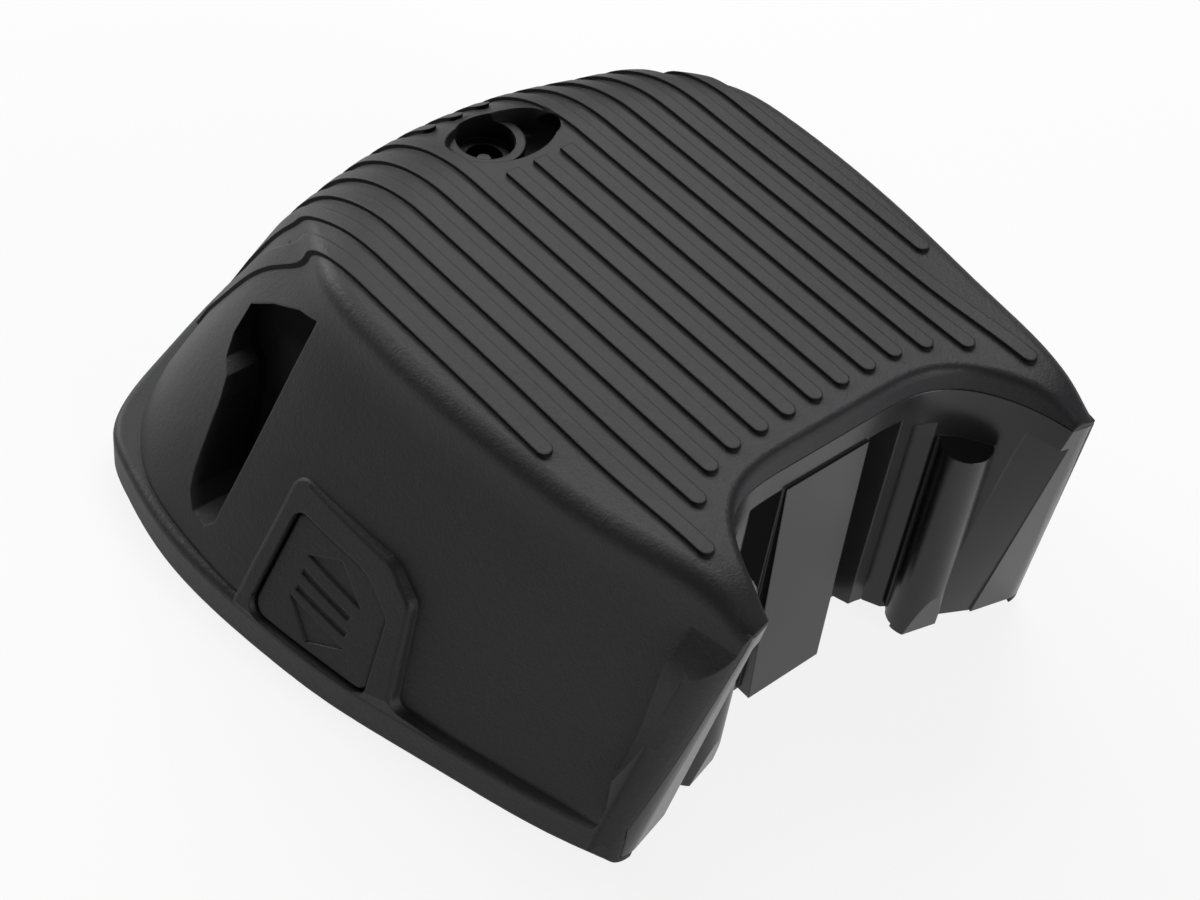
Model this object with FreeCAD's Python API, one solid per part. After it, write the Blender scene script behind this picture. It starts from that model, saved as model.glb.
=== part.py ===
import FreeCAD, Part
import math
import os
from FreeCAD import Vector

# Battery pack of a cordless vacuum cleaner, in millimetres.
# The origin is on the table plane under the middle of the casing; -Y is the notched front and +Z is up.

# Casing, right half in plan, from in front of the prong round to the middle of the rear.
waist_outline = [(36.6, -75.0), (41.9, -58.0), (46.5, -44.5), (51.4, -28.0), (55.8, -11.5), (58.8, 4.0),
                 (59.0, 18.0), (56.8, 31.0), (51.5, 39.9), (41.5, 47.8), (27.0, 56.8), (0.0, 66.0)]
shoulder_outline = [(31.4, -75.0), (34.5, -58.0), (37.5, -44.0), (40.0, -27.0), (41.3, -10.0), (41.2, 3.0),
                    (39.4, 13.8), (34.8, 22.6), (29.8, 29.7), (23.4, 34.8), (15.1, 39.6), (0.0, 46.5)]
waist_height = 8.0
shoulder_height = 46.0
band_lean = 0.06
top_height = 52.8
top_crown_radius = 555.0
top_edge_radius = 3.0
rear_bend_start = 17.0
rear_bend_radius = 28.0
rear_slope = 60.0
rear_plan_radius = 84.0
wall = 2.6
top_wall = 2.4

# Flange round the base.
flange_outline = [(36.0, -75.0), (42.1, -58.0), (44.9, -52.0), (51.1, -34.1), (54.3, -24.0), (57.1, -14.0),
                  (59.1, -3.0), (60.5, 9.0), (60.7, 19.2), (60.0, 26.0), (58.4, 34.1), (55.9, 41.2),
                  (50.1, 46.4), (41.0, 51.0), (29.3, 56.3), (16.0, 61.1), (0.0, 63.8)]
flange_height = 7.2
flange_top_radius = 1.4
flange_bottom_radius = 0.8
core_overlap = 2.0

# Front ends of the two prongs, which lean back towards the base.
end_top = 56.0
end_y_top = -58.9
end_y_base = -49.9
end_turn = 0.25
end_corner_top = 29.3
end_corner_base = 38.2
end_corner_radius = 4.0
end_plate = 2.4
end_lip = 0.8
end_foot = 1.2
end_reach = 30.0
front_rim_rise = 1.5
front_rim_y = -56.1
front_rim_lean = 0.039

# Notch between the prongs, right half in plan, from in front of the prong to the middle.
notch_outline = [(30.6, -75.0), (28.8, -66.0), (28.1, -62.3), (26.8, -58.2), (24.7, -54.2), (22.3, -51.2),
                 (20.0, -49.4), (17.0, -48.0), (14.0, -47.4), (7.0, -47.2), (0.0, -47.2)]
notch_edge_radius = 1.3
rim_height = 4.2
rim_width = 2.4
notch_wall_inner = [(36.5, -75.0), (31.8, -60.0), (28.8, -53.0), (24.0, -46.0), (18.0, -42.0), (9.0, -41.4),
                    (0.0, -41.4)]

# Rails cut in and standing on the notch wall.
groove_outline = [(8.0, -49.0), (8.0, -47.4), (9.6, -43.8), (13.2, -43.8), (14.4, -47.4), (14.4, -49.0)]
groove_top = 44.0
valley_outline = [(16.2, -49.5), (16.4, -48.1), (18.4, -46.3), (20.6, -50.6)]
valley_top = 42.0
wall_foot_outline = [(13.0, -49.0), (13.0, -43.8), (16.2, -43.8), (18.6, -45.5), (18.9, -49.0)]
wall_foot_top = 4.6
flare_base = [(24.8, -54.3), (31.4, -57.4), (24.8, -72.0)]
flare_head = [(27.2, -58.6), (29.9, -64.4), (27.2, -72.0)]
flare_top = 44.0
bead_centre = (22.8, -53.2)
bead_radius = 3.9
bead_top = 39.5
block_half_top = 7.8
block_half_base = 7.0
block_front_top = -47.6
block_front_base = -49.5
block_rear = -41.0
block_bottom = 0.2

# Ribs over the top and down the rear.
rib_count = 15
rib_pitch = 5.0
rib_width = 2.28
rib_rise = 0.6
rib_foot = 13.0
rib_front = {0: -43.5, 1: -43.5, 2: -43.6, 3: -43.7, 4: -44.9, 5: -48.1, 6: -55.0, 7: -30.0}
gap_ribs = 1
gap_front = 14.6
gap_rear = 32.4

# Charging recess in the rear of the top.
dish_y = 23.4
dish_half_x = 9.0
dish_half_y = 7.6
dish_floor = 47.4
dish_draft = 1.5
dish_mouth_z = 60.0
dish_flare_x = 2.4
dish_flare_y = 1.0
dish_shell_radius = 12.2
dish_shell_floor = 1.8
scoop_radius = 4.2
scoop_x = 5.6
scoop_forward = 2.2
scoop_rise = 2.4
socket_y = 26.3
socket_bore = 9.0
socket_rim = 48.5
socket_tube_wall = 1.4
socket_tube_foot = 42.4
plug_depth = 3.2
insert_radius = 4.2
insert_foot = 40.9
barrel_depth = 3.6
barrel_bore = 5.6
pin_diameter = 2.1
pin_tip_drop = 0.4

# Side pockets, as seen along X, (y, z).
pocket_outline = [(11.8, 44.8), (12.9, 12.8), (14.4, 11.2), (17.6, 11.4), (19.9, 13.2), (20.9, 15.5),
                  (23.2, 24.5), (24.6, 26.9), (27.2, 27.8), (28.8, 30.0), (28.8, 34.2), (23.1, 38.7),
                  (16.5, 42.9)]
pocket_wall = 1.6
pocket_floor_top = 32.6
pocket_floor_base = 45.4
pocket_top_z = 45.0
pocket_base_z = 13.0

# Thumb buttons, as seen along X, (y, z), with the radius of each corner.
button_outline = [(0.2, 24.0, 1.8), (-14.0, 23.4, 8.0), (-19.3, 19.6, 1.5), (-20.6, 6.6, 1.8),
                  (1.1, 6.9, 2.5)]
button_rise = 0.9
button_gap = 0.35
button_travel = 3.0
button_thickness = 1.4
button_edge_radius = 0.6
button_base = 4.0
button_web_x = 51.0
tab_x = 49.2
tab_reach = 54.0
lip_width = 1.2
lip_gap = 0.12
lip_low = 8.3
pad_outline = [(3.1, 28.5, 3.0), (-17.2, 27.2, 4.0), (-22.3, 23.4, 3.0), (-24.9, 7.4, 2.5),
               (-33.0, 6.5, 1.3), (-33.0, 2.8, 1.3), (4.5, 2.8, 1.5)]
pad_rise = 1.5
pad_turn = 2.75
pad_turn_x = 54.0
pad_turn_y = -20.0
pad_inset = 0.1
pad_edge_radius = 0.9
mark_depth = 0.35
mark_width = 0.9
mark_triangles = [[(-3.9, 19.3), (-9.5, 22.0), (-15.3, 17.7)], [(-3.9, 12.9), (-9.3, 8.2), (-15.4, 10.9)]]
mark_bars = [[(-4.3, 16.9), (-14.0, 15.5)], [(-4.5, 14.4), (-14.5, 13.1)]]

# Springs, their brackets and the latches that the buttons pull in.
spring_y = -9.0
spring_z = 14.0
spring_wire = 0.6
spring_mean_radius = 2.7
spring_turns = 5
spring_foot_x = 41.0
spring_seat_x = 48.6
bracket_thickness = 2.0
bracket_width = 12.0
bracket_top = 20.0
seat_rim = 1.0
guide_radius = 1.9
guide_length = 3.6
latch_width = 8.0
latch_thickness = 2.6
latch_x = 46.4
latch_nose = 1.0
latch_tip = 0.8
latch_top = 9.4
latch_seat = 6.6
latch_arm_low = 4.8
latch_arm_x = 52.0
latch_hook_rise = 1.2
latch_hook_land = 0.6
latch_gap = 0.5

# Floor of the chassis.
floor_low = 2.0
floor_thickness = 2.0
fit_gap = 0.15
seat_gap = 0.05

# Cells and their holders.
cell_diameter = 18.4
cell_length = 65.0
cell_front = -37.5
cell_pitch = 19.0
cell_low_z = 13.8
cell_high_z = 30.4
cell_gap = 0.1
cap_radius = 3.2
cap_height = 0.4
holder_depth = 10.0
holder_rim = 1.2
holder_shoulder = 7.0
holder_step = 13.0
holder_cover = 1.0
strip_thickness = 0.3
strip_width = 7.0
strip_overhang = 2.5
foam_width = 12.0
foam_overhang = 4.0
foam_rows = (-22.0, 4.0)
sheet_thickness = 0.3

# Control board.
board_half_x = 24.0
board_front = -40.3
board_rear = 19.8
board_low = 42.2
board_thickness = 1.6
post_radius = 2.4
post_x = 9.5
post_front = -33.0
post_rear = 17.0
board_screw_radius = 1.1
board_screw_depth = 5.4
screw_head_radius = 2.1
screw_head_height = 1.5
transistor_size = (6.6, 6.1, 2.3)
transistor_x = 17.0
transistor_rows = (-36.0, -28.0, -20.0)
chip_plans = [(-9.0, -18.0, 7.0, 7.0), (3.0, -16.0, 10.0, 5.0), (4.0, -4.0, 6.0, 6.0), (-8.0, 2.0, 5.0, 4.0)]
chip_height = 1.1
capacitor_radius = 3.15
capacitor_height = 4.8
capacitor_places = [(-18.0, 2.0), (-18.0, 10.0), (17.0, 4.0)]

# Contacts in the middle block.
contact_half_x = 5.9
contact_front = -46.2
contact_top = 18.0
contact_low = 2.2
contact_count = 4
contact_pitch = 3.0
contact_slot = 1.1
contact_blade = 0.3
contact_front_wall = 0.8
contact_rear_wall = 1.2
contact_cap = 3.0
contact_foot = 1.5

# Leads.
lead_radius = 0.55
lead_bend = 1.6
lead_stand = 1.7
contact_lead_x = 2.0
contact_lead_z = 10.0
socket_lead_x = 2.2
socket_lead_reach = 2.0

# Screws that hold the chassis in the cover.
casing_screws = [(38.0, -50.0, 22.0), (44.5, 37.5, 13.0)]
casing_screw_radius = 1.5
casing_head_radius = 2.8
casing_head_height = 1.5
boss_radius = 3.2
boss_cap = 2.0
boss_inset = 0.5
screw_tip_gap = 0.2

x_axis = Vector(1, 0, 0)
big = 200.0


def grow(points, distance):
    """Shift a half outline outwards by a distance, measured level."""
    shifted = []
    for i, (x, y) in enumerate(points):
        before = points[max(i - 1, 0)]
        after = points[min(i + 1, len(points) - 1)]
        across = after[1] - before[1]
        along = before[0] - after[0]
        if i == len(points) - 1:
            across, along = 0.0, 1.0
        length = math.hypot(across, along)
        shifted.append((x + across / length * distance, y + along / length * distance))
    return shifted


def closed_wire(points, z):
    """Curve through a half outline and its mirror image, closed by a straight front."""
    right = [Vector(x, y, z) for x, y in points]
    left = [Vector(-x, y, z) for x, y in reversed(points[:-1])]
    curve = Part.BSplineCurve()
    curve.interpolate(right + left)
    return Part.Wire([curve.toShape(), Part.makeLine(left[-1], right[0])])


def plan_prism(points, low, high):
    face = Part.Face(closed_wire(points, low))
    return face.extrude(Vector(0, 0, high - low))


def polygon_prism(points, low, high):
    corners = [Vector(x, y, low) for x, y in points]
    face = Part.Face(Part.makePolygon(corners + corners[:1]))
    return face.extrude(Vector(0, 0, high - low))


def block(low, high):
    size = [b - a for a, b in zip(low, high)]
    return Part.makeBox(*size, Vector(*low))


def rod(radius, start, end):
    start, end = Vector(*start), Vector(*end)
    return Part.makeCylinder(radius, (end - start).Length, start, end - start)


def mirrored(shape):
    return shape.mirror(Vector(0, 0, 0), x_axis)


def both_sides(shape):
    return [shape, mirrored(shape)]


def largest(shape):
    """The one solid of a cut shape, without the slivers that faces in contact leave."""
    return max(shape.Solids, key=lambda solid: solid.Volume)


def outline_at(z):
    share = (z - waist_height) / (shoulder_height - waist_height)
    return [(a[0] + (b[0] - a[0]) * share, a[1] + (b[1] - a[1]) * share)
            for a, b in zip(waist_outline, shoulder_outline)]


def sides(offset, low, band_offset=None):
    """Solid inside the side walls, flared up to the shoulder and nearly upright above it."""
    if band_offset is None:
        band_offset = offset
    wires = []
    for share in (0.0, 0.36, 0.7, 0.88):
        z = low + (shoulder_height - low) * share
        wires.append(closed_wire(grow(outline_at(z), offset), z))
    for rise in (1.0, 6.0, 14.0):
        outline = grow(shoulder_outline, band_offset - band_lean * rise)
        wires.append(closed_wire(outline, shoulder_height + rise))
    return Part.makeLoft(wires, True, False)


def top_surface_height(x, y, lift):
    """Height of the crowned top, which bends down into the sloping rear."""
    past = y + x * x / (2 * rear_plan_radius) - rear_bend_start
    crown = top_height - x * x / (2 * top_crown_radius)
    slope = math.radians(rear_slope)
    if past <= 0:
        return crown + lift
    if past < rear_bend_radius * math.sin(slope):
        fall = math.sqrt(rear_bend_radius ** 2 - past ** 2)
        return crown - rear_bend_radius + fall + lift * rear_bend_radius / fall
    straight = (past - rear_bend_radius * math.sin(slope)) * math.tan(slope)
    return crown - rear_bend_radius * (1 - math.cos(slope)) - straight + lift / math.cos(slope)


def below_top(lift):
    """Everything below the top and rear surface, raised by a lift."""
    columns = [-72 + 12 * i for i in range(13)]
    rows = [-80, -60, -40, -20, -5, 5, 12, 17, 22, 27, 32, 37, 42, 48, 56, 66, 78]
    grid = [[Vector(x, y, top_surface_height(x, y, lift)) for y in rows] for x in columns]
    surface = Part.BSplineSurface()
    surface.interpolate(grid)
    return surface.toShape().extrude(Vector(0, 0, -big))


def rounded_body(offset):
    """Outer shape above the waist, with its rounded top edge."""
    body = sides(offset, waist_height).common(below_top(offset))
    edges = [e for e in body.Edges if e.BoundBox.ZMax > top_height - 3 and e.BoundBox.ZMin < waist_height + 3
             and e.BoundBox.YLength > 80]
    return body.Solids[0].makeFillet(top_edge_radius + offset, edges)


def end_wire(z, back):
    """Plan of the leaning prong ends, open to the sides and the rear."""
    share = z / end_top
    y = end_y_base + (end_y_top - end_y_base) * share + back
    corner = end_corner_base + (end_corner_top - end_corner_base) * share
    start = Vector(corner, y - end_turn * corner, z)
    inward = Vector(end_turn, 1, 0).normalize()
    centre = start + inward * end_corner_radius
    end = centre + x_axis * end_corner_radius
    middle = centre + (x_axis - inward).normalize() * end_corner_radius
    far = [Vector(end.x + 60, end.y + 25, z), Vector(end.x + 60, big / 2, z)]
    right = [Part.makeLine(Vector(0, y, z), start), Part.Arc(start, middle, end).toShape(),
             Part.makeLine(end, far[0]), Part.makeLine(far[0], far[1])]
    left = [mirrored(e) for e in right]
    rear = Part.makeLine(far[1], Vector(-far[1].x, far[1].y, z))
    return Part.Wire(Part.__sortEdges__([rear] + right + left))


def behind_ends(back):
    """Everything behind the leaning prong ends."""
    low, high = -5.0, end_top + 10.0
    return Part.makeLoft([end_wire(low, back), end_wire(high, back)], True, True)


def before_rim_crease():
    """Everything in front of the plane where the raised front rims end."""
    low, high = -5.0, end_top + 10.0
    corners = [(-big, low), (front_rim_y - front_rim_lean * low, low),
               (front_rim_y - front_rim_lean * high, high), (-big, high)]
    face = Part.Face(Part.makePolygon([Vector(-big, y, z) for y, z in corners + corners[:1]]))
    return face.extrude(Vector(2 * big, 0, 0))


def side_prism(corners, inner_x):
    """Prism along X on the right side, from (y, z, radius) corners."""
    count = len(corners)
    edges = []
    ends = []
    for i, (y, z, radius) in enumerate(corners):
        here = Vector(inner_x, y, z)
        before = Vector(inner_x, *corners[i - 1][:2]) - here
        after = Vector(inner_x, *corners[(i + 1) % count][:2]) - here
        half = before.getAngle(after) / 2
        reach = radius / math.tan(half)
        before.normalize()
        after.normalize()
        middle = (before + after).normalize() * (radius / math.sin(half) - radius)
        start, end = here + before * reach, here + after * reach
        edges.append(Part.Arc(start, here + middle, end).toShape())
        ends.append((start, end))
    for i in range(count):
        edges.append(Part.makeLine(ends[i - 1][1], ends[i][0]))
    face = Part.Face(Part.Wire(Part.__sortEdges__(edges)))
    return face.extrude(Vector(big - inner_x, 0, 0))


def grown_prism(corners, distance, inner_x):
    """Side prism with its outline moved outwards all round."""
    prism = side_prism(corners, 0.0)
    face = [f for f in prism.Faces if abs(f.CenterOfMass.x) < 0.001][0]
    wire = face.OuterWire.makeOffset2D(distance, 0, False, False, True)
    moved = Part.Face(wire)
    moved.translate(Vector(inner_x, 0, 0))
    return moved.extrude(Vector(big - inner_x, 0, 0))


def flange():
    rim = plan_prism(flange_outline, 0.0, flange_height)
    top = [e for e in rim.Edges if e.BoundBox.ZMin > flange_height - 0.01 and e.BoundBox.YLength > 1]
    bottom = [e for e in rim.Edges if e.BoundBox.ZMax < 0.01 and e.BoundBox.YLength > 1]
    rim = rim.makeFillet(flange_top_radius, top).makeFillet(flange_bottom_radius, bottom)
    core = plan_prism(waist_outline, flange_height - core_overlap, waist_height)
    return rim.fuse(core.common(below_top(0.0)))


def round_front(plate, radius):
    """Round the edges of the outermost curved face."""
    curved = [face for face in plate.Faces if isinstance(face.Surface, Part.BSplineSurface)]
    front = max(curved, key=lambda face: face.CenterOfMass.x)
    return largest(plate).makeFillet(radius, front.OuterWire.Edges)


def turned(shape):
    """Turn a right side skin a little, so that it sinks towards the rear."""
    shape.rotate(Vector(pad_turn_x, pad_turn_y, 0), Vector(0, 0, 1), pad_turn)
    return shape


def button_pad():
    """Low raised pad round a button, flush with the flange below it."""
    skin = turned(sides(pad_rise, pad_outline[-1][1] - 0.5))
    pad = round_front(skin.common(side_prism(pad_outline, 20.0)), pad_edge_radius)
    return pad.common(plan_prism(grow(flange_outline, -pad_inset), 0.0, big))


def front_rim():
    """Raised rim along the front edge of each side."""
    skin = sides(front_rim_rise, flange_height - core_overlap, -0.3)
    zone = behind_ends(0.0).common(before_rim_crease())
    right = block((20.0, -big / 2, flange_height - core_overlap), (big / 2, 0, shoulder_height + 3.0))
    return skin.common(zone).common(right)


def rib_prism(x, front, rear):
    r = rib_width / 2
    start, end = Vector(x - r, front + r, rib_foot), Vector(x + r, front + r, rib_foot)
    tip = Part.Arc(start, Vector(x, front, rib_foot), end).toShape()
    back = [Vector(x + r, rear, rib_foot), Vector(x - r, rear, rib_foot)]
    lines = [Part.makeLine(end, back[0]), Part.makeLine(back[0], back[1]), Part.makeLine(back[1], start)]
    face = Part.Face(Part.Wire(Part.__sortEdges__([tip] + lines)))
    return face.extrude(Vector(0, 0, big))


def ribs():
    """Ribs that follow the rounded body, the middle ones interrupted at the charging recess."""
    middle = rib_count // 2
    prisms = []
    for i in range(-middle, middle + 1):
        x = i * rib_pitch
        front = rib_front[abs(i)]
        if abs(i) <= gap_ribs:
            prisms.append(rib_prism(x, front, gap_front))
            prisms.append(rib_prism(x, gap_rear, big / 2))
        else:
            prisms.append(rib_prism(x, front, big / 2))
    return rounded_body(rib_rise).common(Part.Compound(prisms))


def end_layers(offset, low, high, depth, front):
    """Space behind the prong ends, as deep as the chassis end plates, in three overlapping layers."""
    upper = sides(offset, waist_height)
    step = plan_prism(grow(waist_outline, offset), flange_height + offset - 0.5, waist_height + 0.01)
    lower = plan_prism(grow(flange_outline, offset), low, flange_height + offset)
    limit = block((-60, -big / 2, low - 0.1), (60, 0, high)).common(behind_ends(front))
    return [layer.common(limit).cut(behind_ends(depth)) for layer in (upper, step, lower)]


def cavity(gap):
    """Space inside the cover, open below and at the front, less a gap all round."""
    rim_low = top_height - rim_height
    roof = below_top(-top_wall - gap)
    upper = sides(-wall - gap, waist_height).common(roof)
    lower = plan_prism(grow(waist_outline, -wall - gap), -1.0, waist_height).common(roof)
    rim = plan_prism(grow(notch_outline, rim_width + gap), rim_low - gap, big)
    bridge = before_rim_crease().common(block((-60, -big / 2, rim_low - gap), (60, 0, big)))
    return upper.cut(rim.fuse(bridge)).fuse(lower)


def notch_space(low, high):
    return plan_prism(notch_outline, low, high)


def dish():
    middle = Vector(0, dish_y, dish_mouth_z)
    outer = Part.Ellipse(middle, dish_half_x + dish_flare_x, dish_half_y + dish_flare_y)
    inner = Part.Ellipse(Vector(0, dish_y, dish_floor), dish_half_x - dish_draft, dish_half_y - dish_draft)
    cut = Part.makeLoft([Part.Wire(outer.toShape()), Part.Wire(inner.toShape())], True, True)
    scoop = Part.makeSphere(scoop_radius, Vector(scoop_x, dish_y - scoop_forward, dish_floor + scoop_rise))
    return cut.fuse(scoop)


def socket_tube():
    radius = socket_bore / 2 + socket_tube_wall
    return rod(radius, (0, socket_y, socket_tube_foot), (0, socket_y, socket_rim))


def pocket_floor(offset):
    """Everything outboard of the leaning pocket floor on the right side."""
    lean = (pocket_floor_top - pocket_floor_base) / (pocket_top_z - pocket_base_z)
    base_x = pocket_floor_base - lean * pocket_base_z + offset
    top_x = base_x + lean * top_height
    profile = [(base_x, 0), (big, 0), (big, top_height), (top_x, top_height), (base_x, 0)]
    face = Part.Face(Part.makePolygon([Vector(x, 0, z) for x, z in profile]))
    return face.extrude(Vector(0, big, 0))


def pocket_prism(distance):
    corners = [Vector(0, y, z) for y, z in pocket_outline]
    wire = Part.makePolygon(corners + corners[:1])
    if distance:
        wire = wire.makeOffset2D(distance, 0, False, False, True)
    return Part.Face(wire).extrude(Vector(big, 0, 0))


def side_pocket_wall():
    body = sides(-0.2, waist_height).common(below_top(-0.2))
    return pocket_prism(pocket_wall).common(pocket_floor(-pocket_wall)).common(body)


def side_pocket():
    return pocket_prism(0.0).common(pocket_floor(0.0))


def casing_boss(x, y, top):
    low = floor_low + floor_thickness + seat_gap
    boss = rod(boss_radius, (x, y, low), (x, y, top))
    return boss.common(sides(-boss_inset, floor_low))


def notched_body():
    """Outer shape above the waist with the notch, its rounded rim and the prong ends."""
    body = largest(rounded_body(0.0).cut(notch_space(-5.0, big)).common(behind_ends(0.0)))
    rim = [e for e in body.Edges
           if e.Length > 40 and e.BoundBox.ZMin > shoulder_height and e.BoundBox.YMax < 0]
    return body.makeFillet(notch_edge_radius, rim)


def outer_cover():
    foot = flange().fuse(both_sides(button_pad()) + both_sides(front_rim()))
    foot = foot.cut(notch_space(-5.0, big)).common(behind_ends(0.0))
    skin = notched_body().fuse(foot).fuse(ribs())
    skin = skin.cut(cavity(0.0))
    additions = both_sides(side_pocket_wall()) + [socket_tube()]
    dish_shell = rod(dish_shell_radius, (0, dish_y, dish_floor - dish_shell_floor), (0, dish_y, dish_mouth_z))
    additions.append(dish_shell.common(below_top(-0.3)))
    for x, y, top in casing_screws:
        additions += both_sides(casing_boss(x, y, top))
    skin = skin.fuse(additions)
    shoulder = socket_rim - plug_depth
    cuts = [dish().cut(socket_tube()), rod(socket_bore / 2, (0, socket_y, shoulder), (0, socket_y, big))]
    cuts.append(rod(insert_radius + seat_gap, (0, socket_y, 0), (0, socket_y, shoulder)))
    cuts += both_sides(side_pocket())
    cuts += both_sides(grown_prism(button_outline, button_gap, 40.0))
    for x, y, top in casing_screws:
        cuts += both_sides(rod(casing_screw_radius + seat_gap, (x, y, 0), (x, y, top - boss_cap)))
    skin = largest(skin.cut(cuts))
    for layer in end_layers(-end_lip, end_foot, top_height - rim_height, end_plate, -end_reach):
        skin = skin.cut(layer)
    return largest(skin)


def notch_void():
    """Space of the notch as the chassis leaves it, with its rails and the middle block."""
    flare = [Part.makePolygon([Vector(x, y, z) for x, y in corners + corners[:1]])
             for corners, z in ((flare_base, 0.0), (flare_head, flare_top))]
    space = notch_space(-5.0, big).fuse(both_sides(Part.makeLoft(flare, True, True)))
    x, y = bead_centre
    bead = rod(bead_radius, (x, y, -5.0), (x, y, bead_top))
    rows = [(block_half_base, block_front_base, block_bottom), (block_half_top, block_front_top, groove_top)]
    wires = []
    for half, front, z in rows:
        corners = [(-half, front), (half, front), (half, block_rear), (-half, block_rear), (-half, front)]
        wires.append(Part.makePolygon([Vector(x, y, z) for x, y in corners]))
    middle = Part.makeLoft(wires, True, True)
    space = space.cut([middle] + both_sides(bead))
    groove = polygon_prism(groove_outline, -5.0, groove_top)
    valley = polygon_prism(valley_outline, -5.0, valley_top)
    foot = polygon_prism(wall_foot_outline, -5.0, wall_foot_top)
    return space.fuse(both_sides(groove) + both_sides(valley) + both_sides(foot))


def middle_block():
    half, front = max(block_half_base, block_half_top), block_front_base
    return block((-half, front - 1.0, block_bottom), (half, notch_wall_inner[-1][1], groove_top))


def bracket():
    x, y, half = spring_foot_x, spring_y, bracket_width / 2
    low = floor_low + floor_thickness / 2
    return block((x - bracket_thickness, y - half, low), (x, y + half, bracket_top))


def latch_window():
    travel = button_travel + latch_gap
    low_x, high_x = latch_x - travel, latch_x + latch_thickness + latch_nose + latch_gap
    half = latch_width / 2 + latch_gap
    return block((low_x, spring_y - half, 0.0), (high_x, spring_y + half, floor_low + floor_thickness + 1.0))


def chassis():
    rim_low = top_height - rim_height
    plates = end_layers(-end_lip - fit_gap, end_foot + fit_gap, rim_low - fit_gap, end_plate - fit_gap, 0.0)
    ends = plates[0].fuse(plates[1:])
    inside = cavity(fit_gap).fuse(ends)
    floor = plan_prism(waist_outline, floor_low, floor_low + floor_thickness)
    front_wall = plan_prism(notch_wall_inner, floor_low, rim_low - fit_gap)
    shell = floor.fuse([front_wall, ends]).common(inside).common(behind_ends(0.0))
    shell = shell.fuse(middle_block()).cut(notch_void())
    half, gap = contact_half_x + fit_gap, fit_gap
    rear = notch_wall_inner[-1][1] + 1.0
    pocket = block((-half, contact_front - gap, -1.0), (half, rear, contact_top + gap))
    shell = shell.fuse(both_sides(bracket()))
    cuts = [pocket] + both_sides(latch_window())
    for x, y, top in casing_screws:
        cuts += both_sides(rod(casing_screw_radius + fit_gap, (x, y, 0.0), (x, y, 10.0)))
    return largest(shell.cut(cuts))


def bar_prism(start, end):
    """Bar with square ends, along X, seen as a line from start to end."""
    (y0, z0), (y1, z1) = start, end
    bar = block((0, 0, -mark_width / 2), (big, math.hypot(y1 - y0, z1 - z0), mark_width / 2))
    bar.rotate(Vector(0, 0, 0), x_axis, math.degrees(math.atan2(z1 - z0, y1 - y0)))
    bar.translate(Vector(0, y0, z0))
    return bar


def button_mark():
    """Two triangles with two bars between them, along X."""
    prisms = [bar_prism(start, end) for start, end in mark_bars]
    for points in mark_triangles:
        corners = [Vector(0, y, z) for y, z in points]
        prisms.append(Part.Face(Part.makePolygon(corners + corners[:1])).extrude(Vector(big, 0, 0)))
    return Part.Compound(prisms)


def button():
    """Right button: a face plate through the cover, a lip behind it, a spring seat and a latch tab."""
    low = button_base
    back = wall + lip_gap + button_thickness
    outer = turned(sides(button_rise, low))
    plate = outer.cut(sides(-back, low)).common(side_prism(button_outline, 30.0))
    plate = round_front(plate, button_edge_radius)
    lip = sides(-wall - lip_gap, lip_low).cut(sides(-back, lip_low - 0.1))
    lip = lip.common(grown_prism(button_outline, button_gap + lip_width, 30.0))
    web = (button_web_x, spring_y, spring_z)
    seat = rod(spring_mean_radius + seat_rim, (spring_seat_x, spring_y, spring_z), web)
    guide = rod(guide_radius, (spring_seat_x - guide_length, spring_y, spring_z), web)
    y0, y1 = spring_y - latch_width / 2, spring_y + latch_width / 2
    tab = block((tab_x, y0, latch_seat), (tab_reach, y1, latch_top))
    piece = plate.fuse([lip, seat, guide, tab])
    return piece.cut(button_mark().cut(turned(sides(button_rise - mark_depth, low - 1.0))))


def latch():
    """Right latch: a hook under the button's tab, reaching through the floor."""
    y0, y1 = spring_y - latch_width / 2, spring_y + latch_width / 2
    x0, x1 = latch_x, latch_x + latch_thickness
    hook = latch_tip + latch_hook_rise
    profile = [(x0, latch_seat), (x0, latch_tip), (x1, latch_tip), (x1 + latch_nose, hook),
               (x1 + latch_nose, hook + latch_hook_land), (x1, hook + latch_hook_land), (x1, latch_arm_low),
               (latch_arm_x, latch_arm_low), (latch_arm_x, latch_seat)]
    corners = [Vector(x, y0, z) for x, z in profile]
    return Part.Face(Part.makePolygon(corners + corners[:1])).extrude(Vector(0, y1 - y0, 0))


def helix_point(turn, start, rise):
    angle = 2 * math.pi * turn
    y = spring_y + spring_mean_radius * math.cos(angle)
    z = spring_z + spring_mean_radius * math.sin(angle)
    return Vector(start + rise * turn, y, z)


def helix_direction(turn, rise):
    angle = 2 * math.pi * turn
    run = 2 * math.pi * spring_mean_radius
    return Vector(rise, -run * math.sin(angle), run * math.cos(angle)).normalize()


def arc_towards(start, corner, end):
    """Arc that leaves start and reaches end along the lines through a corner."""
    share = (end - start).Length / 2 / (corner - start).Length
    middle = ((start + end) * 0.5 + corner * share) * (1 / (1 + share))
    return Part.Arc(start, middle, end).toShape()


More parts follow.
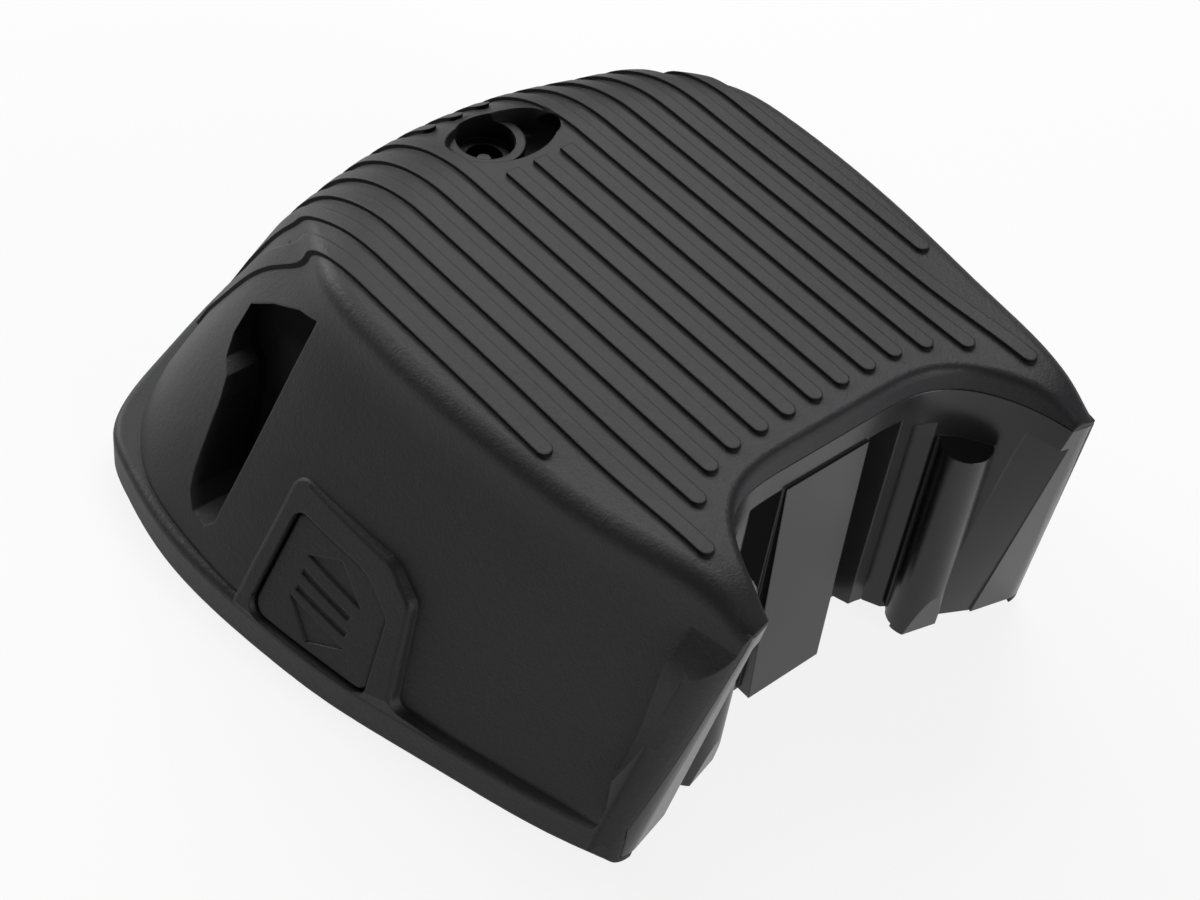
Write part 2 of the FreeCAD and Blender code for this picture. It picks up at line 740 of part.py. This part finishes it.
def spring():
    """Right return spring, one wire of even turns along X."""
    start = spring_foot_x + spring_wire / 2 + seat_gap
    rise = (spring_seat_x - spring_wire / 2 - seat_gap - start) / spring_turns
    edges = []
    steps = 4 * spring_turns
    for i in range(steps):
        a, b = i / 4, (i + 1) / 4
        p0, p1 = helix_point(a, start, rise), helix_point(b, start, rise)
        t0, t1 = helix_direction(a, rise), helix_direction(b, rise)
        chord, both = p1 - p0, t0 + t1
        spread = 2 * (1 - t0.dot(t1))
        reach = (math.sqrt(chord.dot(both) ** 2 + spread * chord.dot(chord)) - chord.dot(both)) / spread
        c0, c1 = p0 + t0 * reach, p1 - t1 * reach
        joint = (c0 + c1) * 0.5
        edges += [arc_towards(p0, c0, joint), arc_towards(joint, c1, p1)]
    path = Part.Wire(edges)
    ring = Part.Circle(helix_point(0, start, rise), helix_direction(0, rise), spring_wire / 2)
    print("spring gap", round(rise - spring_wire, 2), "mm")
    return path.makePipeShell([Part.Wire(ring.toShape())], True, False)


def charging_socket():
    top = socket_rim - plug_depth
    body = rod(insert_radius, (0, socket_y, insert_foot), (0, socket_y, top))
    return body.cut(rod(barrel_bore / 2, (0, socket_y, top - barrel_depth), (0, socket_y, top + 1.0)))


def socket_pin():
    top = socket_rim - plug_depth
    return rod(pin_diameter / 2, (0, socket_y, top - barrel_depth), (0, socket_y, top - pin_tip_drop))


def cell_places():
    low = [(x * cell_pitch / 2, cell_low_z) for x in (-3, -1, 1, 3)]
    high = [(x * cell_pitch, cell_high_z) for x in (1, 0, -1)]
    return low + high


def cell(x, z):
    can = rod(cell_diameter / 2, (x, cell_front + cap_height, z), (x, cell_front + cell_length, z))
    return can.fuse(rod(cap_radius, (x, cell_front, z), (x, cell_front + cap_height, z)))


def cell_holder(front):
    """Holder round the ends of the cells, with the posts of the control board."""
    low = floor_low + floor_thickness
    wide = cell_pitch * 1.5 + cell_diameter / 2 + holder_rim
    narrow = cell_pitch + cell_diameter / 2 + holder_rim
    high = cell_high_z + cell_diameter / 2 + holder_cover
    right = [(wide, low), (wide, cell_low_z + holder_shoulder),
             (narrow, cell_low_z + holder_step), (narrow, high)]
    corners = [Vector(x, front, z) for x, z in right] + [Vector(-x, front, z) for x, z in reversed(right)]
    body = Part.Face(Part.makePolygon(corners + corners[:1])).extrude(Vector(0, holder_depth, 0))
    holes = []
    for x, z in cell_places():
        holes.append(rod(cell_diameter / 2 + cell_gap, (x, front - 1, z), (x, front + holder_depth + 1, z)))
    y = post_front if front < 0 else post_rear
    posts = [rod(post_radius, (x, y, high - 1.0), (x, y, board_low)) for x in (-post_x, post_x)]
    tip = board_low - board_screw_depth - screw_tip_gap
    pilots = [rod(board_screw_radius + seat_gap, (x, y, tip), (x, y, board_low)) for x in (-post_x, post_x)]
    return body.cut(holes).fuse(posts).cut(pilots)


def strip(a, b, y, step):
    """Flat strip between two cell middles."""
    (x0, z0), (x1, z1) = a, b
    length = math.hypot(x1 - x0, z1 - z0)
    low = (-strip_overhang, 0, -strip_width / 2)
    plate = block(low, (length + strip_overhang, strip_thickness, strip_width / 2))
    plate.rotate(Vector(0, 0, 0), Vector(0, 1, 0), -math.degrees(math.atan2(z1 - z0, x1 - x0)))
    plate.translate(Vector(x0, y + step, z0))
    return plate


def nickel_strips(pairs, y, step):
    places = cell_places()
    return Part.Compound([strip(places[a], places[b], y, step) for a, b in pairs])


def foam_strips():
    low = floor_low + floor_thickness
    half = cell_pitch * 1.5 + foam_overhang
    top = cell_low_z - cell_diameter / 2 - seat_gap
    return Part.Compound([block((-half, y, low), (half, y + foam_width, top)) for y in foam_rows])


def insulation_sheet():
    low = cell_high_z + cell_diameter / 2 + holder_cover
    half = cell_pitch + cell_diameter / 2
    sheet = block((-half, cell_front, low), (half, board_rear, low + sheet_thickness))
    holes = [rod(post_radius + fit_gap, (x, y, low - 1), (x, y, low + 1))
             for x in (-post_x, post_x) for y in (post_front, post_rear)]
    return sheet.cut(holes)


def control_board():
    top = board_low + board_thickness
    board = block((-board_half_x, board_front, board_low), (board_half_x, board_rear, top))
    holes = [rod(board_screw_radius + fit_gap, (x, y, 0), (x, y, big))
             for x in (-post_x, post_x) for y in (post_front, post_rear)]
    return board.cut(holes)


def board_screws():
    top = board_low + board_thickness
    screws = []
    for x in (-post_x, post_x):
        for y in (post_front, post_rear):
            shaft = rod(board_screw_radius, (x, y, board_low - board_screw_depth), (x, y, top))
            screws.append(shaft.fuse(rod(screw_head_radius, (x, y, top), (x, y, top + screw_head_height))))
    return Part.Compound(screws)


def power_transistors():
    top = board_low + board_thickness
    width, depth, height = transistor_size
    return Part.Compound([block((x - width / 2, y, top), (x + width / 2, y + depth, top + height))
                          for x in (-transistor_x, transistor_x) for y in transistor_rows])


def board_chips():
    top = board_low + board_thickness
    return Part.Compound([block((x, y, top), (x + w, y + d, top + chip_height)) for x, y, w, d in chip_plans])


def board_capacitors():
    top = board_low + board_thickness
    return Part.Compound([rod(capacitor_radius, (x, y, top), (x, y, top + capacitor_height))
                          for x, y in capacitor_places])


def contact_block():
    half, rear = contact_half_x, notch_wall_inner[-1][1]
    body = block((-half, contact_front, contact_low), (half, rear, contact_top))
    slots = []
    for x in contact_places():
        slots.append(block((x - contact_slot / 2, contact_front + contact_front_wall, 0.0),
                           (x + contact_slot / 2, rear - contact_rear_wall, contact_top - contact_cap)))
    return body.cut(slots)


def contact_places():
    return [(i - (contact_count - 1) / 2) * contact_pitch for i in range(contact_count)]


def contact_blades():
    rear = notch_wall_inner[-1][1] - contact_rear_wall
    blades = []
    for x in contact_places():
        low = x - contact_slot / 2
        blades.append(block((low, contact_front + contact_front_wall, contact_low + contact_foot),
                            (low + contact_blade, rear, contact_top - contact_cap)))
    return Part.Compound(blades)


def bent_lead(x, start, corner, end, bend):
    """Round lead in a plane of constant x with one bend."""
    a, c, b = Vector(x, *start), Vector(x, *corner), Vector(x, *end)
    p, q = c + (a - c).normalize() * bend, c + (b - c).normalize() * bend
    edges = [arc_towards(p, c, q), Part.makeLine(q, b)]
    if (a - p).Length > 0.01:
        edges.insert(0, Part.makeLine(a, p))
    ring = Part.Circle(a, c - a, lead_radius)
    return Part.Wire(edges).makePipeShell([Part.Wire(ring.toShape())], True, False)


def contact_leads():
    rear, z = notch_wall_inner[-1][1], contact_lead_z
    stand = rear + lead_stand
    return Part.Compound([bent_lead(x, (rear, z), (stand, z), (stand, board_low), lead_bend)
                          for x in (-contact_lead_x, contact_lead_x)])


def socket_leads():
    """Leads from the side of the socket insert to the underside of the board."""
    z = board_low - lead_radius - seat_gap
    leads = [rod(lead_radius, (x, socket_y, z), (x, post_rear - socket_lead_reach, z))
             for x in (-socket_lead_x, socket_lead_x)]
    insert = rod(insert_radius, (0, socket_y, 0.0), (0, socket_y, big))
    return Part.Compound([lead.cut(insert) for lead in leads])


def casing_screw_set():
    screws = []
    for x, y, top in casing_screws:
        shaft = rod(casing_screw_radius, (x, y, floor_low), (x, y, top - boss_cap - screw_tip_gap))
        head = rod(casing_head_radius, (x, y, floor_low - casing_head_height), (x, y, floor_low))
        screws += both_sides(shaft.fuse(head))
    return Part.Compound(screws)


def nodes():
    cell_rear = cell_front + cell_length
    made = {"outer_cover": outer_cover(), "chassis": chassis()}
    for name, shape in (("button", button()), ("latch", latch()), ("spring", spring())):
        made["right_" + name] = shape
        made["left_" + name] = mirrored(shape)
    made["charging_socket"] = charging_socket()
    made["socket_pin"] = socket_pin()
    for i, (x, z) in enumerate(cell_places()):
        made["cell_" + str(i + 1)] = cell(x, z)
    made["front_cell_holder"] = cell_holder(cell_front)
    made["rear_cell_holder"] = cell_holder(cell_rear - holder_depth)
    made["front_nickel_strips"] = nickel_strips([(0, 1), (2, 3), (4, 5)], cell_front, -strip_thickness)
    made["rear_nickel_strips"] = nickel_strips([(1, 2), (3, 4), (5, 6)], cell_rear, 0.0)
    made["foam_strips"] = foam_strips()
    made["insulation_sheet"] = insulation_sheet()
    made["control_board"] = control_board()
    made["board_screws"] = board_screws()
    made["power_transistors"] = power_transistors()
    made["board_chips"] = board_chips()
    made["board_capacitors"] = board_capacitors()
    made["contact_block"] = contact_block()
    made["contact_blades"] = contact_blades()
    made["contact_leads"] = contact_leads()
    made["socket_leads"] = socket_leads()
    made["casing_screws"] = casing_screw_set()
    return made


def write_parts():
    os.makedirs("parts", exist_ok=True)
    for name, shape in nodes().items():
        volume = round(shape.Volume, 1)
        print(name, "solids", len(shape.Solids), "volume", volume, "valid", shape.isValid())
        shape.exportStep("parts/" + name + ".step")


write_parts()
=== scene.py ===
import bmesh
import bpy
from mathutils import Matrix, Vector

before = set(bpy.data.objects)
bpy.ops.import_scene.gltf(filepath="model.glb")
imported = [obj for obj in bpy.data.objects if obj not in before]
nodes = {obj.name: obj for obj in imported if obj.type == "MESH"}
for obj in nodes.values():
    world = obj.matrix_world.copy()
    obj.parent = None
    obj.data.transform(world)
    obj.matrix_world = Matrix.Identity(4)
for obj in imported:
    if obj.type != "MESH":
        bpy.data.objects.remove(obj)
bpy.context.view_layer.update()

print("frame loaded:", len(nodes), "nodes")

# The camera stands where the photograph was taken from, in metres.
cameraSet = {
    "place": (-0.18025, -0.17209, 0.26637),
    "right": (0.75475, -0.64623, 0.11285),
    "down": (-0.41402, -0.60267, -0.68219),
    "forward": (0.50886, 0.46816, -0.72242),
    "lens": 69.95,
    "sensor": 36.0,
    "near": 0.01,
    "far": 10.0,
}


def makeCamera():
    data = bpy.data.cameras.new("photoCamera")
    data.lens = cameraSet["lens"]
    data.sensor_width = cameraSet["sensor"]
    data.clip_start = cameraSet["near"]
    data.clip_end = cameraSet["far"]
    camera = bpy.data.objects.new("photoCamera", data)
    right, down, forward = (Vector(cameraSet[k]) for k in ("right", "down", "forward"))
    turn = Matrix((right, -down, -forward)).transposed().to_4x4()
    camera.matrix_world = Matrix.Translation(cameraSet["place"]) @ turn
    bpy.context.collection.objects.link(camera)
    bpy.context.scene.camera = camera


# A socket whose sums add their own Math nodes.
class Wire:
    def __init__(self, tree, socket):
        self.tree = tree
        self.socket = socket

    def maths(self, operation, *others):
        return self.tree.add("ShaderNodeMath", {"operation": operation}, [self, *others])

    def __add__(self, other):
        return self.maths("ADD", other)

    def __mul__(self, other):
        return self.maths("MULTIPLY", other)

    def __gt__(self, other):
        return self.maths("GREATER_THAN", other)

    def __lt__(self, other):
        return self.maths("LESS_THAN", other)

    def __radd__(self, other):
        return self.maths("ADD", other)

    def __rmul__(self, other):
        return self.maths("MULTIPLY", other)

    def absolute(self):
        return self.maths("ABSOLUTE")

    def ramp(self, low, high):
        settings = {"clamp": True}
        return self.tree.add("ShaderNodeMapRange", settings, {"Value": self, "From Min": low, "From Max": high})


# A material and the nodes that it is made of.
class Finish:
    def __init__(self, name):
        self.material = bpy.data.materials.new(name)
        self.material.use_nodes = True
        self.nodes = self.material.node_tree.nodes
        self.links = self.material.node_tree.links
        self.nodes.clear()
        self.output = self.nodes.new("ShaderNodeOutputMaterial")

    def feed(self, socket, value):
        if isinstance(value, Wire):
            self.links.new(value.socket, socket)
        else:
            socket.default_value = value

    def add(self, kind, settings, values, out=0):
        node = self.nodes.new(kind)
        for key, value in settings.items():
            setattr(node, key, value)
        pairs = values.items() if isinstance(values, dict) else enumerate(values)
        for key, value in pairs:
            self.feed(node.inputs[key], value)
        return Wire(self, node.outputs[out])

    def place(self, scale=(1.0, 1.0, 1.0)):
        here = self.add("ShaderNodeTexCoord", {}, {}, "Object")
        return self.add("ShaderNodeMapping", {}, {"Vector": here, "Scale": scale})

    def noise(self, size, detail=2.0, rough=0.5, stretch=(1.0, 1.0, 1.0)):
        scale = tuple(s / size for s in stretch)
        values = {"Vector": self.place(scale), "Scale": 1.0, "Detail": detail, "Roughness": rough}
        return self.add("ShaderNodeTexNoise", {}, values)

    def cells(self, size, feature="F1", out="Distance"):
        values = {"Vector": self.place((1 / size,) * 3), "Scale": 1.0}
        return self.add("ShaderNodeTexVoronoi", {"feature": feature}, values, out)

    def soft(self, radius):
        # edges look rounded by this much
        return self.add("ShaderNodeBevel", {"samples": 6}, {"Radius": radius})

    def bump(self, height, depth, strength=1.0, before=None):
        values = {"Strength": strength, "Distance": depth, "Height": height}
        if before is not None:
            values["Normal"] = before
        return self.add("ShaderNodeBump", {}, values)

    def facing(self, direction):
        # how far the surface turns to a direction, from -1 to 1
        here = self.add("ShaderNodeNewGeometry", {}, {}, "True Normal")
        return self.add("ShaderNodeVectorMath", {"operation": "DOT_PRODUCT"}, [here, direction], "Value")

    def blend(self, factor, first, second):
        values = {0: factor, 6: (*first, 1.0) if isinstance(first, tuple) else first,
                  7: (*second, 1.0) if isinstance(second, tuple) else second}
        return self.add("ShaderNodeMix", {"data_type": "RGBA"}, values, 2)

    def axis(self, name):
        here = self.add("ShaderNodeTexCoord", {}, {}, "Object")
        return self.add("ShaderNodeSeparateXYZ", {}, [here], name)

    def close(self, **values):
        surface = self.add("ShaderNodeBsdfPrincipled", {}, {k.replace("_", " "): v for k, v in values.items()})
        self.links.new(surface.socket, self.output.inputs["Surface"])
        return self.material


castRange = (0.35, 0.65)  # part of the noise over which the moulding changes tone

coverSet = {
    "dark": (0.0115, 0.0115, 0.0130),
    "light": (0.0145, 0.0145, 0.0165),
    # black: painted shade for the rib walls and the side pockets
    "black": (0.0012, 0.0012, 0.0013),
    "cast": 0.03,
    "grain": 0.00040,
    "grainDepth": 0.00007,
    "pores": 0.0011,
    "poreDepth": 0.00004,
    "poreStrength": 0.6,
    "edge": 0.0004,
    "gloss": 0.34,
    "rough": 0.46,
    "roughGrain": 0.14,
    "roughWall": 0.4,
    # upright, ribTop and waist place the painted shade on the rib walls; the pocket values place it in the side
    # pockets
    "upright": 0.03,
    "ribTop": 0.0515,
    "waist": 0.009,
    "pocketFront": 0.0115,
    "pocketRear": 0.029,
    "pocketTop": 0.043,
    "pocketSlope": 0.46,
    "pocketReach": 0.0535,
}


def ribWallShade(f):
    # 1 on the upright walls of the ribs: painted shade there, a near-black colour and a rougher surface
    upright = f.facing((0.0, 0.0, 1.0)).absolute() < coverSet["upright"]
    above = f.axis("Z") > coverSet["ribTop"]
    behind = f.axis("Y") > 0.0
    return upright * (f.axis("Z") > coverSet["waist"]) * (above + behind).ramp(0.0, 1.0)


def pocketShade(f):
    # 1 on the deep faces of the side pockets: painted shade there, a near-black colour and a rougher surface
    along = f.axis("Y")
    reach = f.axis("X").absolute() + coverSet["pocketSlope"] * f.axis("Z")
    between = (along > coverSet["pocketFront"]) * (along < coverSet["pocketRear"])
    return between * (f.axis("Z") < coverSet["pocketTop"]) * (reach < coverSet["pocketReach"])


def coverFinish():
    f = Finish("texturedCover")
    grains = f.noise(coverSet["grain"], 3.0, 0.6)
    pores = f.cells(coverSet["pores"])
    cast = f.noise(coverSet["cast"])
    colour = f.blend(cast.ramp(*castRange), coverSet["dark"], coverSet["light"])
    # painted shade: rib walls and pocket faces take the near-black colour and more roughness
    shade = (ribWallShade(f) + pocketShade(f)).ramp(0.0, 1.0)
    colour = f.blend(shade, colour, coverSet["black"])
    rough = coverSet["rough"] + coverSet["roughGrain"] * grains + coverSet["roughWall"] * shade
    normal = f.bump(pores, coverSet["poreDepth"], coverSet["poreStrength"], f.soft(coverSet["edge"]))
    normal = f.bump(grains, coverSet["grainDepth"], 1.0, normal)
    return f.close(Base_Color=colour, Roughness=rough, Normal=normal, Specular_IOR_Level=coverSet["gloss"])


# Smooth mouldings, soft sheets and leads: two tones, roughness, size and depth of the grain.
satinSet = {
    "satinChassis": ((0.012, 0.012, 0.012), (0.015, 0.015, 0.015), 0.20, 0.0006, 0.00001),
    "blackMoulding": ((0.008, 0.008, 0.0085), (0.012, 0.012, 0.0125), 0.42, 0.0008, 0.00003),
    "mouldedEpoxy": ((0.012, 0.012, 0.012), (0.02, 0.02, 0.02), 0.6, 0.0003, 0.00002),
    "foam": ((0.015, 0.015, 0.015), (0.03, 0.03, 0.03), 0.85, 0.0004, 0.00015),
    "insulatingCard": ((0.42, 0.40, 0.33), (0.50, 0.48, 0.40), 0.7, 0.0005, 0.00003),
    "leadSleeve": ((0.30, 0.012, 0.010), (0.36, 0.018, 0.014), 0.45, 0.0008, 0.00002),
}
satinCommon = {"cast": 0.02, "edge": 0.0003, "strength": 0.7, "roughGrain": 0.08}


def satinFinish(name):
    dark, light, roughness, grain, depth = satinSet[name]
    f = Finish(name)
    cast = f.noise(satinCommon["cast"])
    fine = f.noise(grain, 3.0, 0.6)
    colour = f.blend(cast.ramp(*castRange), dark, light)
    normal = f.bump(fine, depth, satinCommon["strength"], f.soft(satinCommon["edge"]))
    return f.close(Base_Color=colour, Roughness=roughness + satinCommon["roughGrain"] * fine, Normal=normal)


# Metals: clean colour, worn colour and roughness.
metalSet = {
    "springSteel": ((0.55, 0.55, 0.54), (0.42, 0.42, 0.41), 0.25),
    "rolledNickel": ((0.66, 0.65, 0.61), (0.55, 0.54, 0.51), 0.28),
    "contactMetal": ((0.72, 0.55, 0.28), (0.62, 0.45, 0.22), 0.25),
    # the socket pin is near-black metal: painted shade of the deep bore it sits in
    "pinPaintedShade": ((0.10, 0.10, 0.10), (0.06, 0.06, 0.06), 0.35),
    "capacitorCan": ((0.72, 0.72, 0.73), (0.6, 0.6, 0.61), 0.3),
}
metalCommon = {"cast": 0.004, "brush": 0.0004, "along": 0.15, "depth": 0.00002, "strength": 0.6,
               "roughBrush": 0.15}


def metalFinish(name):
    colour, worn, roughness = metalSet[name]
    f = Finish(name)
    cast = f.noise(metalCommon["cast"], 3.0, 0.6)
    fine = f.noise(metalCommon["brush"], 2.0, 0.5, (1.0, 1.0, metalCommon["along"]))
    return f.close(Base_Color=f.blend(cast, colour, worn), Metallic=1.0,
                   Roughness=roughness + metalCommon["roughBrush"] * fine,
                   Normal=f.bump(fine, metalCommon["depth"], metalCommon["strength"]))


boardSet = {"track": (0.02, 0.13, 0.05), "mask": (0.012, 0.075, 0.035), "pitch": 0.0021, "edges": (0.02, 0.06),
            "rough": 0.32, "roughMask": 0.1, "depth": 0.00003, "strength": 0.5}


def boardFinish():
    f = Finish("boardLaminate")
    lines = f.cells(boardSet["pitch"], "DISTANCE_TO_EDGE")
    between = lines.ramp(*boardSet["edges"])
    colour = f.blend(between, boardSet["track"], boardSet["mask"])
    return f.close(Base_Color=colour, Roughness=boardSet["rough"] + boardSet["roughMask"] * between,
                   Normal=f.bump(between, boardSet["depth"], boardSet["strength"]))


sleeveSet = {"dark": (0.012, 0.10, 0.17), "light": (0.018, 0.14, 0.23), "wrinkle": 0.012, "stretch": (1.0, 4.0, 1.0),
             "rough": 0.24, "roughWrinkle": 0.1, "depth": 0.0002, "strength": 0.3}


def sleeveFinish():
    f = Finish("cellSleeve")
    wrinkles = f.noise(sleeveSet["wrinkle"], 3.0, 0.5, sleeveSet["stretch"])
    colour = f.blend(wrinkles, sleeveSet["dark"], sleeveSet["light"])
    return f.close(Base_Color=colour, Roughness=sleeveSet["rough"] + sleeveSet["roughWrinkle"] * wrinkles,
                   Normal=f.bump(wrinkles, sleeveSet["depth"], sleeveSet["strength"]))


def paint(name, material):
    node = nodes[name]
    node.data.materials.clear()
    node.data.materials.append(material)


def paintNodes():
    worn = {
        coverFinish(): ["outer_cover", "left_button", "right_button"],
        satinFinish("satinChassis"): ["chassis"],
        satinFinish("blackMoulding"): ["left_latch", "right_latch", "charging_socket", "contact_block",
                                       "front_cell_holder", "rear_cell_holder"],
        satinFinish("mouldedEpoxy"): ["power_transistors", "board_chips"],
        satinFinish("foam"): ["foam_strips"],
        satinFinish("insulatingCard"): ["insulation_sheet"],
        satinFinish("leadSleeve"): ["contact_leads", "socket_leads"],
        metalFinish("springSteel"): ["left_spring", "right_spring", "board_screws", "casing_screws"],
        metalFinish("rolledNickel"): ["front_nickel_strips", "rear_nickel_strips"],
        metalFinish("contactMetal"): ["contact_blades"],
        metalFinish("pinPaintedShade"): ["socket_pin"],
        metalFinish("capacitorCan"): ["board_capacitors"],
        boardFinish(): ["control_board"],
        sleeveFinish(): ["cell_" + str(i) for i in range(1, 8)],
    }
    for material, names in worn.items():
        for name in names:
            paint(name, material)
    left = set(nodes) - {name for names in worn.values() for name in names}
    print("nodes without a finish:", sorted(left))


stageSet = {"floor": 3.0, "drop": 0.0002, "grey": 0.82, "white": 0.85, "mirrored": 0.6}


def makeStage():
    mesh = bpy.data.meshes.new("floor")
    form = bmesh.new()
    bmesh.ops.create_grid(form, x_segments=1, y_segments=1, size=stageSet["floor"])
    form.to_mesh(mesh)
    form.free()
    floor = bpy.data.objects.new("floor", mesh)
    floor.location.z = -stageSet["drop"]
    bpy.context.collection.objects.link(floor)
    f = Finish("floor")
    path = f.nodes.new("ShaderNodeLightPath")
    mirrored = Wire(f, path.outputs["Is Glossy Ray"]) + Wire(f, path.outputs["Is Transmission Ray"])
    seen = (Wire(f, path.outputs["Is Camera Ray"]) + stageSet["mirrored"] * mirrored).ramp(0.0, 1.0)
    plain = f.add("ShaderNodeBsdfDiffuse", {}, {"Color": (stageSet["grey"],) * 3 + (1.0,)})
    white = f.add("ShaderNodeEmission", {}, {"Color": (1.0, 1.0, 1.0, 1.0), "Strength": 1.0})
    both = f.add("ShaderNodeMixShader", {}, [seen * stageSet["white"], plain, white])
    f.links.new(both.socket, f.output.inputs["Surface"])
    mesh.materials.append(f.material)


lampSet = {
    "key": {"place": (0.42, 0.40, 0.70), "size": 0.6, "power": 5.6},
    "rear": {"place": (-0.15, 0.85, 0.40), "size": 0.4, "power": 6.0},
    "front": {"place": (0.1, -0.9, 0.30), "size": 0.5, "power": 5.0},
}
lampAim = (0.0, 0.0, 0.025)


worldSet = {"plain": 0.10, "seen": 0.95}


def makeWorld():
    # the camera sees a white backdrop, and the object gets only its plain light
    world = bpy.data.worlds.new("studio")
    world.use_nodes = True
    tree = world.node_tree
    background = tree.nodes["Background"]
    background.inputs["Color"].default_value = (1.0, 1.0, 1.0, 1.0)
    path = tree.nodes.new("ShaderNodeLightPath")
    strength = tree.nodes.new("ShaderNodeMapRange")
    strength.inputs["To Min"].default_value = worldSet["plain"]
    strength.inputs["To Max"].default_value = worldSet["seen"]
    tree.links.new(path.outputs["Is Camera Ray"], strength.inputs["Value"])
    tree.links.new(strength.outputs["Result"], background.inputs["Strength"])
    return world


def makeLamps():
    for name, values in lampSet.items():
        data = bpy.data.lights.new(name, "AREA")
        data.shape = "SQUARE"
        data.size = values["size"]
        data.energy = values["power"]
        lamp = bpy.data.objects.new(name, data)
        lamp.location = values["place"]
        aim = Vector(lampAim) - lamp.location
        lamp.rotation_euler = aim.to_track_quat("-Z", "Y").to_euler()
        bpy.context.collection.objects.link(lamp)
    bpy.context.scene.world = makeWorld()
    bpy.context.scene.view_settings.view_transform = "Standard"


makeCamera()
print("camera set")
paintNodes()
print("finishes set")
makeStage()
makeLamps()
print("stage set")
